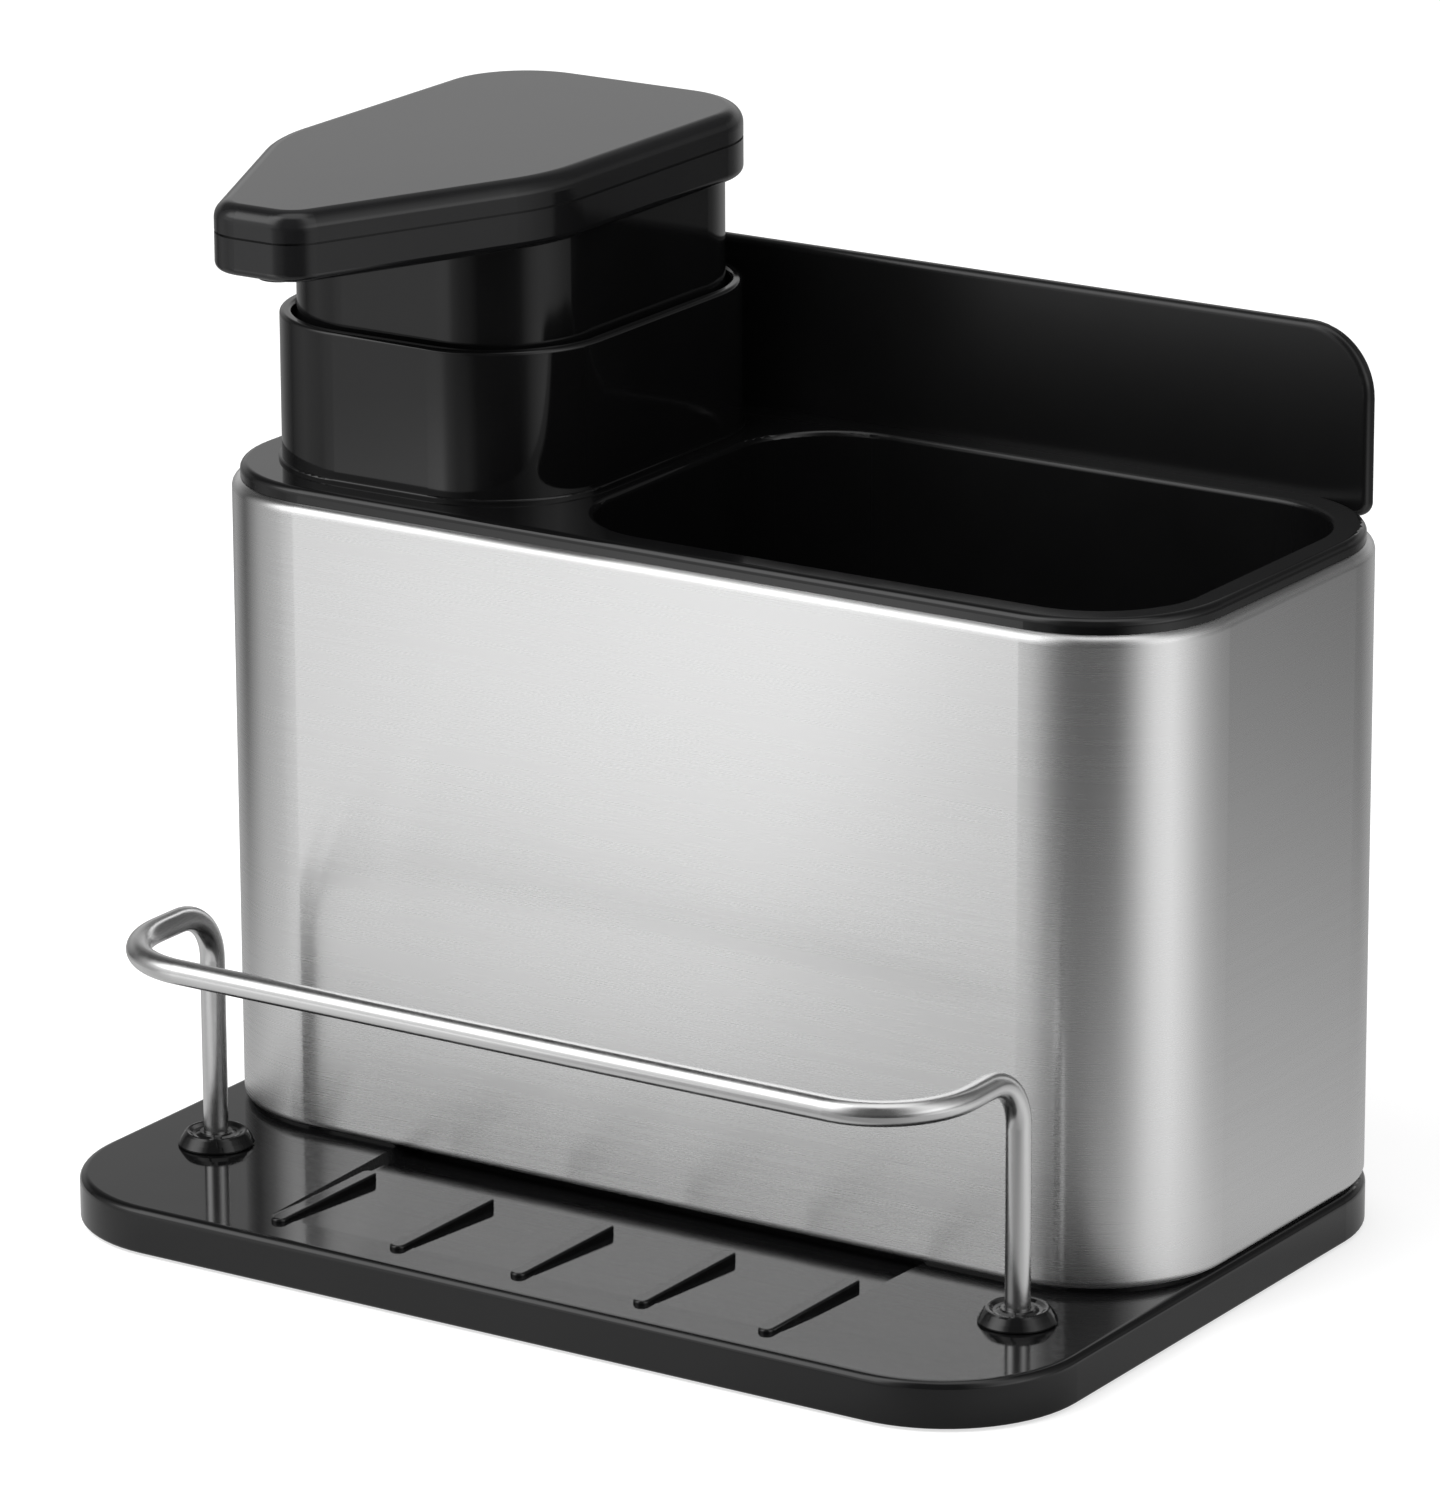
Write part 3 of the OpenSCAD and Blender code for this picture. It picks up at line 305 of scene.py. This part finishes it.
def dress(names, finish):
    """Gives CAD nodes one finish."""
    for name in names:
        slots = NODES[name].material_slots
        if not slots:
            raise RuntimeError("the node %s has no material slot" % name)
        for slot in slots:
            slot.material = finish


# The return spring, as round wire in place of the solid's six sides
def make_spring(look, finish):
    """Winds the spring inside the solid's box, between its ends, and hangs it on the pump unit's
    body.
    """
    low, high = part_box("return_spring")
    centre = [(a + b) / 2 for a, b in zip(low, high)]
    wire = look.spring_wire / 2
    coil = (high[0] - low[0]) / 2 - wire
    bpy.ops.object.select_all(action="DESELECT")
    bpy.ops.mesh.primitive_circle_add(vertices=look.spring_sides, radius=wire, location=(0, 0, 0))
    spring = bpy.context.object
    spring.name = "round_return_spring"
    bpy.ops.object.mode_set(mode="EDIT")
    bpy.ops.mesh.select_all(action="SELECT")
    bpy.ops.transform.rotate(value=math.pi / 2, orient_axis="X", center_override=(0, 0, 0))
    bpy.ops.transform.translate(value=(coil, 0, low[2] + wire))
    bpy.ops.object.mode_set(mode="OBJECT")
    turns = spring.modifiers.new("turns", "SCREW")
    turns.iterations = look.spring_turns
    turns.steps = turns.render_steps = look.spring_steps
    turns.screw_offset = (high[2] - low[2] - 2 * wire) / look.spring_turns
    bpy.ops.object.modifier_apply(modifier=turns.name)
    bpy.ops.object.mode_set(mode="EDIT")
    bpy.ops.mesh.select_all(action="SELECT")
    bpy.ops.mesh.fill_holes(sides=0)
    bpy.ops.mesh.select_all(action="SELECT")
    bpy.ops.mesh.normals_make_consistent(inside=False)
    bpy.ops.transform.translate(value=(centre[0], centre[1], 0))
    bpy.ops.object.mode_set(mode="OBJECT")
    bpy.ops.object.shade_smooth_by_angle(angle=SMOOTH_ANGLE)
    spring.data.materials.append(finish)
    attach(spring, "pump_unit")
    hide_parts("return_spring")
    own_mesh(spring)
    return spring


# Studio: all tones are what a polished surface sees in a direction, given by its azimuth in
# degrees, from the front towards the right
TURN = 360
WHITE = (1, 1, 1, 1)
PAPER = (0.55, 0.55, 0.55, 1)
# Azimuth, tones of the floor by the base, near it, further out, and out to the horizon, and the
# columns that they stand in
BY_BASE, NEAR, FAR, OUTER = range(1, 5)
FLOOR_ROUND = [(-180, 0.42, 0.42, 0.42, 0.4), (-147, 0.3, 0.3, 0.12, 0.3),
               (-133, 0.35, 0.8, 0.26, 0.3), (-113, 0.35, 0.46, 0.44, 0.3),
               (-93, 0.45, 0.5, 0.05, 0.1), (-73, 0.6, 0.62, 0.4, 0.4),
               (-53, 0.58, 0.55, 0.36, 0.45), (-38, 0.62, 0.76, 1.25, 0.76),
               (-30, 0.62, 0.76, 1.5, 0.82), (-24, 0.62, 0.76, 1.55, 0.78),
               (-18, 0.62, 0.56, 0.7, 0.45), (-10, 0.62, 0.44, 0.34, 0.3),
               (0, 0.62, 0.48, 0.32, 0.2), (10, 0.6, 0.36, 0.07, 0.06),
               (24, 0.58, 0.36, 0.01, 0.05), (38, 0.5, 0.32, 0.0, 0.05),
               (50, 0.3, 0.36, 0.0, 0.07), (56, 0.26, 0.44, 0.1, 0.12),
               (62, 0.3, 0.5, 0.36, 0.3), (70, 0.36, 0.56, 0.68, 0.5),
               (78, 0.4, 0.68, 1.0, 0.6), (88, 0.42, 0.76, 1.2, 0.6),
               (98, 0.42, 0.74, 0.95, 0.5), (110, 0.4, 0.62, 0.62, 0.35),
               (124, 0.36, 0.54, 0.45, 0.2), (150, 0.36, 0.46, 0.2, 0.1)]
# Azimuth, tone a little above the horizon, tone of the sky over it, and their columns
SKY_LOW, SKY_HIGH = 1, 2
SKY_ROUND = [(-180, 0.5, 0.1), (-160, 0.58, 0.2), (-140, 0.58, 0.2), (-118, 0.4, 0.08),
             (-93, 0.1, 0.06), (-73, 0.4, 0.4), (-60, 0.7, 1.7), (-48, 0.85, 2.3),
             (-33, 0.85, 2.3), (-22, 0.9, 1.7), (-10, 0.5, 0.5), (6, 0.12, 0.1),
             (45, 0.1, 0.1), (60, 0.5, 0.4), (74, 1.2, 0.9), (90, 1.5, 1.1),
             (106, 0.9, 0.6), (122, 0.4, 0.3), (147, 0.2, 0.12), (164, 0.3, 0.1)]
TOP_TONE = 1.2
# Distances on the floor between which each tone turns into the next one out
NEAR_START, NEAR_FULL = 0.09, 0.105
FAR_START, FAR_FULL = 0.14, 0.36
OUTER_START, OUTER_FULL = 0.36, 0.5
# Sines of the elevations between which each tone turns into the next one up
LOW_START, LOW_FULL = 0.0, 0.12
SKY_START, SKY_FULL = 0.24, 0.46
TOP_START, TOP_FULL = 0.88, 0.99
# The camera's sensor and the distances between which it sees
SENSOR_WIDTH = 36
CLIP_START, CLIP_END = 0.05, 20


def round_ramp(tree, share, rows, column):
    """A ramp round the whole turn from one column of tones: its last stop meets its first."""
    first = rows[0]
    stops = [(row[0], row[column]) for row in rows] + [(first[0] + TURN, first[column])]
    return ramp(tree, share, [((angle + TURN / 2) / TURN, tone) for angle, tone in stops])


def azimuth_share(tree, place):
    """The azimuth of a direction or place as a share of the turn, 0 and 1 at the back, and
    the separated coordinates."""
    parts = add(tree, "ShaderNodeSeparateXYZ")
    link(tree, place, parts.inputs[0])
    flip = add(tree, "ShaderNodeMath", operation="MULTIPLY")
    flip.inputs[1].default_value = -1.0
    link(tree, parts.outputs["Y"], flip.inputs[0])
    turn = add(tree, "ShaderNodeMath", operation="ARCTAN2")
    link(tree, parts.outputs["X"], turn.inputs[0])
    link(tree, flip.outputs[0], turn.inputs[1])
    share = add(tree, "ShaderNodeMapRange", From_Min=-math.pi, From_Max=math.pi)
    link(tree, turn.outputs[0], share.inputs["Value"])
    return share.outputs["Result"], parts


def blend(tree, value, start, full, low, high):
    """Low below start, high above full, and a smooth turn between them."""
    step = add(tree, "ShaderNodeMapRange", From_Min=start, From_Max=full,
               interpolation_type="SMOOTHSTEP")
    link(tree, value, step.inputs["Value"])
    mix = tree.nodes.new("ShaderNodeMix")
    mix.data_type = "RGBA"
    link(tree, step.outputs["Result"], mix.inputs["Factor"])
    for side, name in ((low, "A"), (high, "B")):
        if isinstance(side, float):
            mix.inputs[name].default_value = (side, side, side, 1)
        else:
            link(tree, side, mix.inputs[name])
    return mix.outputs["Result"]


def split(tree, ray, without, with_it):
    """One shader for the rays of a kind, another for the rest."""
    path = add(tree, "ShaderNodeLightPath")
    node = add(tree, "ShaderNodeMixShader")
    link(tree, path.outputs[ray], node.inputs[0])
    link(tree, without.outputs[0], node.inputs[1])
    link(tree, with_it.outputs[0], node.inputs[2])
    return node


def make_world(studio):
    """The camera sees white, polished surfaces the tones round them, the rest a plain light."""
    world = bpy.data.worlds.new("studio")
    bpy.context.scene.world = world
    world.use_nodes = True
    tree = world.node_tree
    tree.nodes.clear()
    way = add(tree, "ShaderNodeTexCoord").outputs["Generated"]
    share, parts = azimuth_share(tree, way)
    horizon = round_ramp(tree, share, FLOOR_ROUND, OUTER)
    low = round_ramp(tree, share, SKY_ROUND, SKY_LOW)
    high = round_ramp(tree, share, SKY_ROUND, SKY_HIGH)
    height = parts.outputs["Z"]
    tones = blend(tree, height, LOW_START, LOW_FULL, horizon, low)
    tones = blend(tree, height, SKY_START, SKY_FULL, tones, high)
    tones = blend(tree, height, TOP_START, TOP_FULL, tones, TOP_TONE)
    seen = add(tree, "ShaderNodeBackground")
    link(tree, tones, seen.inputs["Color"])
    plain = add(tree, "ShaderNodeBackground", Color=WHITE, Strength=studio.world_level)
    white = add(tree, "ShaderNodeBackground", Color=WHITE, Strength=1.0)
    shader = split(tree, "Is Glossy Ray", plain, seen)
    shader = split(tree, "Is Transmission Ray", shader, white)
    shader = split(tree, "Is Camera Ray", shader, white)
    out = add(tree, "ShaderNodeOutputWorld")
    link(tree, shader.outputs[0], out.inputs["Surface"])


def make_floor(studio):
    """White paper. Reflections see it in the tones of the studio round it."""
    bpy.ops.object.select_all(action="DESELECT")
    bpy.ops.mesh.primitive_plane_add(size=studio.floor_size, location=(0, 0, 0))
    floor = bpy.context.object
    floor.name = "floor"
    mat, tree, bsdf = material("floor_paper")
    tree.nodes.remove(bsdf)
    place = add(tree, "ShaderNodeTexCoord").outputs["Object"]
    share, _ = azimuth_share(tree, place)
    by_base, near, far, outer = (
        round_ramp(tree, share, FLOOR_ROUND, ring) for ring in (BY_BASE, NEAR, FAR, OUTER))
    length = add(tree, "ShaderNodeVectorMath", operation="LENGTH")
    link(tree, place, length.inputs[0])
    away = length.outputs["Value"]
    tones = blend(tree, away, NEAR_START, NEAR_FULL, by_base, near)
    tones = blend(tree, away, FAR_START, FAR_FULL, tones, far)
    tones = blend(tree, away, OUTER_START, OUTER_FULL, tones, outer)
    seen = add(tree, "ShaderNodeEmission")
    link(tree, tones, seen.inputs["Color"])
    paper = add(tree, "ShaderNodeBsdfDiffuse", Color=PAPER)
    glow = add(tree, "ShaderNodeEmission", Strength=studio.floor_glow)
    none = add(tree, "ShaderNodeEmission", Strength=0.0)
    lit = add(tree, "ShaderNodeAddShader")
    link(tree, paper.outputs[0], lit.inputs[0])
    link(tree, split(tree, "Is Camera Ray", none, glow).outputs[0], lit.inputs[1])
    shader = split(tree, "Is Glossy Ray", lit, seen)
    link(tree, shader.outputs[0], tree.nodes["Material Output"].inputs["Surface"])
    floor.data.materials.append(mat)


def make_lamp(studio):
    """A soft lamp that looks at the origin. Polished surfaces don't see it."""
    data = bpy.data.lights.new("soft_lamp", "AREA")
    data.shape, data.size, data.energy = "DISK", studio.lamp_size, studio.lamp_power
    lamp = bpy.data.objects.new("soft_lamp", data)
    bpy.context.collection.objects.link(lamp)
    lamp.location = studio.lamp_place
    lamp.rotation_euler = (-Vector(studio.lamp_place)).to_track_quat("-Z", "Y").to_euler()
    lamp.visible_glossy = False


def make_camera(studio):
    """The camera, placed and turned as its settings say."""
    data = bpy.data.cameras.new("camera")
    data.lens = studio.lens
    data.sensor_width = SENSOR_WIDTH
    data.clip_start, data.clip_end = CLIP_START, CLIP_END
    camera = bpy.data.objects.new("camera", data)
    bpy.context.collection.objects.link(camera)
    camera.location = studio.camera_place
    pitch, roll, yaw = studio.camera_angles
    camera.rotation_mode = "QUATERNION"
    aim = Euler((math.pi / 2 - pitch, 0, yaw)).to_quaternion()
    camera.rotation_quaternion = aim @ Quaternion((0, 0, 1), roll)
    bpy.context.scene.camera = camera


# Settings
class CaddyLook(bpy.types.PropertyGroup):
    """Colours and finish of the caddy"""
    black: FloatVectorProperty(
        name="Gloss black", description="Colour of the glossy mouldings", size=3,
        subtype="COLOR", min=0, max=1, default=(0.0048, 0.0048, 0.005))
    satin: FloatVectorProperty(
        name="Satin black", description="Colour of the press plate", size=3,
        subtype="COLOR", min=0, max=1, default=(0.009, 0.009, 0.0095))
    steel: FloatVectorProperty(
        name="Steel", description="Colour of the brushed sleeve", size=3,
        subtype="COLOR", min=0, max=1, default=(0.8, 0.8, 0.8))
    steel_rough: FloatProperty(
        name="Steel roughness", description="Roughness of the brushed sleeve",
        min=0.1, max=0.8, default=0.27, subtype="FACTOR")
    panel_rough: FloatProperty(
        name="Panel roughness", description="Roughness of the upright panel at the back",
        min=0, max=1, default=0.28, subtype="FACTOR")
    spring_wire: FloatProperty(
        name="Spring wire", description="Diameter of the return spring's wire",
        min=0.0005, max=0.002, default=0.0012, unit="LENGTH")
    spring_turns: IntProperty(
        name="Spring turns", description="Number of turns of the return spring",
        min=4, max=14, default=9)
    spring_sides: IntProperty(
        name="Wire sides", description="Number of sides of the wire's section",
        min=6, max=32, default=14)
    spring_steps: IntProperty(
        name="Turn steps", description="Number of steps in each turn of the spring",
        min=12, max=96, default=40)


class CaddyStudio(bpy.types.PropertyGroup):
    """Light and camera"""
    world_level: FloatProperty(
        name="World level", description="Strength of the plain light all round",
        min=0, max=2, default=0.7)
    floor_size: FloatProperty(
        name="Floor size", description="Length of the floor's sides",
        min=1, max=20, default=8, unit="LENGTH")
    floor_glow: FloatProperty(
        name="Floor glow", description="What lifts the paper to white for the camera",
        min=0, max=2, default=0.66)
    lamp_power: FloatProperty(
        name="Lamp power", description="Power of the soft lamp above",
        min=0, max=100, default=9, unit="POWER")
    lamp_size: FloatProperty(
        name="Lamp size", description="Diameter of the soft lamp",
        min=0.1, max=3, default=0.9, unit="LENGTH")
    lamp_place: FloatVectorProperty(
        name="Lamp place", description="Where the soft lamp hangs", size=3,
        subtype="TRANSLATION", unit="LENGTH", default=(-0.35, -0.5, 0.9))
    lens: FloatProperty(
        name="Lens", description="Focal length of the camera",
        min=20, max=500, default=210.6, unit="CAMERA")
    camera_place: FloatVectorProperty(
        name="Camera place", description="Where the camera stands", size=3,
        subtype="TRANSLATION", unit="LENGTH", default=(0.64673, -0.9921, 0.4324))
    camera_angles: FloatVectorProperty(
        name="Camera angles", description="Downward pitch, roll and yaw of the camera", size=3,
        subtype="EULER", unit="ROTATION", default=(0.29706, -0.00456, 0.5777))


# Operators
class CADDY_OT_mouldings(bpy.types.Operator):
    """Glossy black tray, insert, tank, skirt and grommets"""
    bl_idname = "caddy.mouldings"
    bl_label = "Glossy mouldings"

    def execute(self, context):
        look = context.scene.caddy_look
        gloss = plastic("gloss_black", look.black, GLOSS_ROUGH, MOULD_DEPTH)
        dress(("base_tray", "soap_tank", "plunger_skirt"), gloss)
        insert = plastic("insert_black", look.black, GLOSS_ROUGH, MOULD_DEPTH)
        soften_panel(insert, look.panel_rough)
        dress(("top_insert",), insert)
        dress(("rail_grommets",),
              plastic("grommet_black", look.black, GROMMET_ROUGH, GROMMET_DEPTH))
        return {"FINISHED"}


class CADDY_OT_press_plate(bpy.types.Operator):
    """Satin black press plate and outlet tip"""
    bl_idname = "caddy.press_plate"
    bl_label = "Press plate"

    def execute(self, context):
        satin = plastic("satin_black", context.scene.caddy_look.satin, SATIN_ROUGH, SATIN_DEPTH,
                        grain=(5200.0, 0.35))
        dress(("press_tray", "press_cover", "nozzle_tip"), satin)
        return {"FINISHED"}


class CADDY_OT_sleeve(bpy.types.Operator):
    """Sleeve of steel with a fine grain that runs round it"""
    bl_idname = "caddy.sleeve"
    bl_label = "Steel sleeve"

    def execute(self, context):
        look = context.scene.caddy_look
        rough = (look.steel_rough - STEEL_ROUGH_SPREAD, look.steel_rough + STEEL_ROUGH_SPREAD)
        dress(("steel_sleeve",), metal(
            "brushed_steel", look.steel, rough, scale=STEEL_GRAIN, contrast=0.011,
            depth=STEEL_DEPTH, spread=1.0, turn=0.25))
        return {"FINISHED"}


class CADDY_OT_rail(bpy.types.Operator):
    """Polished wire of the rail"""
    bl_idname = "caddy.rail"
    bl_label = "Rail"

    def execute(self, context):
        dress(("rail_wire",), metal(
            "bright_wire", WIRE_GREY, WIRE_ROUGH, scale=(900.0, 900.0, 900.0), contrast=0.02,
            depth=WIRE_DEPTH))
        return {"FINISHED"}


class CADDY_OT_pump(bpy.types.Operator):
    """Pump: black plate and cap, milky tubes, rubber, steel balls"""
    bl_idname = "caddy.pump"
    bl_label = "Pump"

    def execute(self, context):
        black = plastic("pump_black", PUMP_BLACK, PUMP_ROUGH, MOULD_DEPTH, grain=(3500.0, 0.5))
        milky = plastic("milky_plastic", MILKY, MILKY_ROUGH, MOULD_DEPTH, grain=(3500.0, 0.4))
        gasket = plastic("gasket_rubber", GASKET_GREY, GASKET_ROUGH, MOULD_DEPTH,
                         grain=(2500.0, 0.6))
        ball = metal("ball_steel", BALL_GREY, BALL_ROUGH, scale=(500.0, 500.0, 500.0),
                     contrast=0.01, depth=BALL_DEPTH)
        dress(("pump_plate", "guide_cap"), black)
        dress(("pump_cylinder", "ball_cage", "dip_tube", "pump_stem", "piston",
               "delivery_channel"), milky)
        dress(("tank_gasket",), gasket)
        dress(("foot_ball", "outlet_ball"), ball)
        return {"FINISHED"}


class CADDY_OT_spring(bpy.types.Operator):
    """Return spring of round wire, in place of the solid's six sides"""
    bl_idname = "caddy.spring"
    bl_label = "Return spring"

    def execute(self, context):
        look = context.scene.caddy_look
        finish = metal("spring_steel", SPRING_GREY, SPRING_ROUGH, scale=(700.0, 700.0, 700.0),
                       contrast=0.04, depth=PLATED_DEPTH)
        dress(("return_spring",), finish)
        spring = make_spring(look, finish)
        if len(spring.data.polygons) < look.spring_turns * look.spring_steps:
            raise RuntimeError("the return spring has no turns")
        return {"FINISHED"}


class CADDY_OT_fixings(bpy.types.Operator):
    """Plated screws and clips, rubber pads and the piston's ring"""
    bl_idname = "caddy.fixings"
    bl_label = "Fixings and pads"

    def execute(self, context):
        zinc = metal("zinc_plate", ZINC, ZINC_ROUGH, scale=(700.0, 700.0, 700.0),
                     contrast=0.05, depth=PLATED_DEPTH)
        rubber = plastic("pad_rubber", PAD_BLACK, PAD_ROUGH, PAD_DEPTH, grain=(2500.0, 1.0))
        dress(("case_screws", "head_screws", "rail_clips"), zinc)
        dress(("base_pads", "piston_seal"), rubber)
        return {"FINISHED"}


class CADDY_OT_stage(bpy.types.Operator):
    """Makes the floor, the lamp, the world and the camera"""
    bl_idname = "caddy.stage"
    bl_label = "Stage"

    def execute(self, context):
        studio = context.scene.caddy_studio
        make_world(studio)
        make_floor(studio)
        make_lamp(studio)
        make_camera(studio)
        context.scene.view_settings.view_transform = "Standard"
        return {"FINISHED"}


class CADDY_PT_panel(bpy.types.Panel):
    """Lists the caddy's operators and settings"""
    bl_idname = "CADDY_PT_panel"
    bl_label = "Soap Pump Caddy"
    bl_space_type = "VIEW_3D"
    bl_region_type = "UI"
    bl_category = "Caddy"

    def draw(self, context):
        for operator in OPERATORS:
            self.layout.operator(operator.bl_idname)
        for settings in (context.scene.caddy_look, context.scene.caddy_studio):
            for name in settings.bl_rna.properties.keys():
                if name not in ("name", "rna_type"):
                    self.layout.prop(settings, name)


OPERATORS = (CADDY_OT_mouldings, CADDY_OT_press_plate, CADDY_OT_sleeve, CADDY_OT_rail,
             CADDY_OT_pump, CADDY_OT_spring, CADDY_OT_fixings, CADDY_OT_stage)
CLASSES = (CaddyLook, CaddyStudio, *OPERATORS, CADDY_PT_panel)


def register():
    """Registers the classes and puts the settings on the scene."""
    for cls in CLASSES:
        bpy.utils.register_class(cls)
    bpy.types.Scene.caddy_look = PointerProperty(type=CaddyLook)
    bpy.types.Scene.caddy_studio = PointerProperty(type=CaddyStudio)


def unregister():
    """Takes the settings and the classes away again."""
    del bpy.types.Scene.caddy_studio
    del bpy.types.Scene.caddy_look
    for cls in reversed(CLASSES):
        bpy.utils.unregister_class(cls)


def main():
    """Builds everything in order."""
    register()
    bpy.ops.caddy.mouldings()
    bpy.ops.caddy.press_plate()
    bpy.ops.caddy.sleeve()
    bpy.ops.caddy.rail()
    bpy.ops.caddy.pump()
    bpy.ops.caddy.spring()
    bpy.ops.caddy.fixings()
    bpy.ops.caddy.stage()


if __name__ == "__main__":
    main()
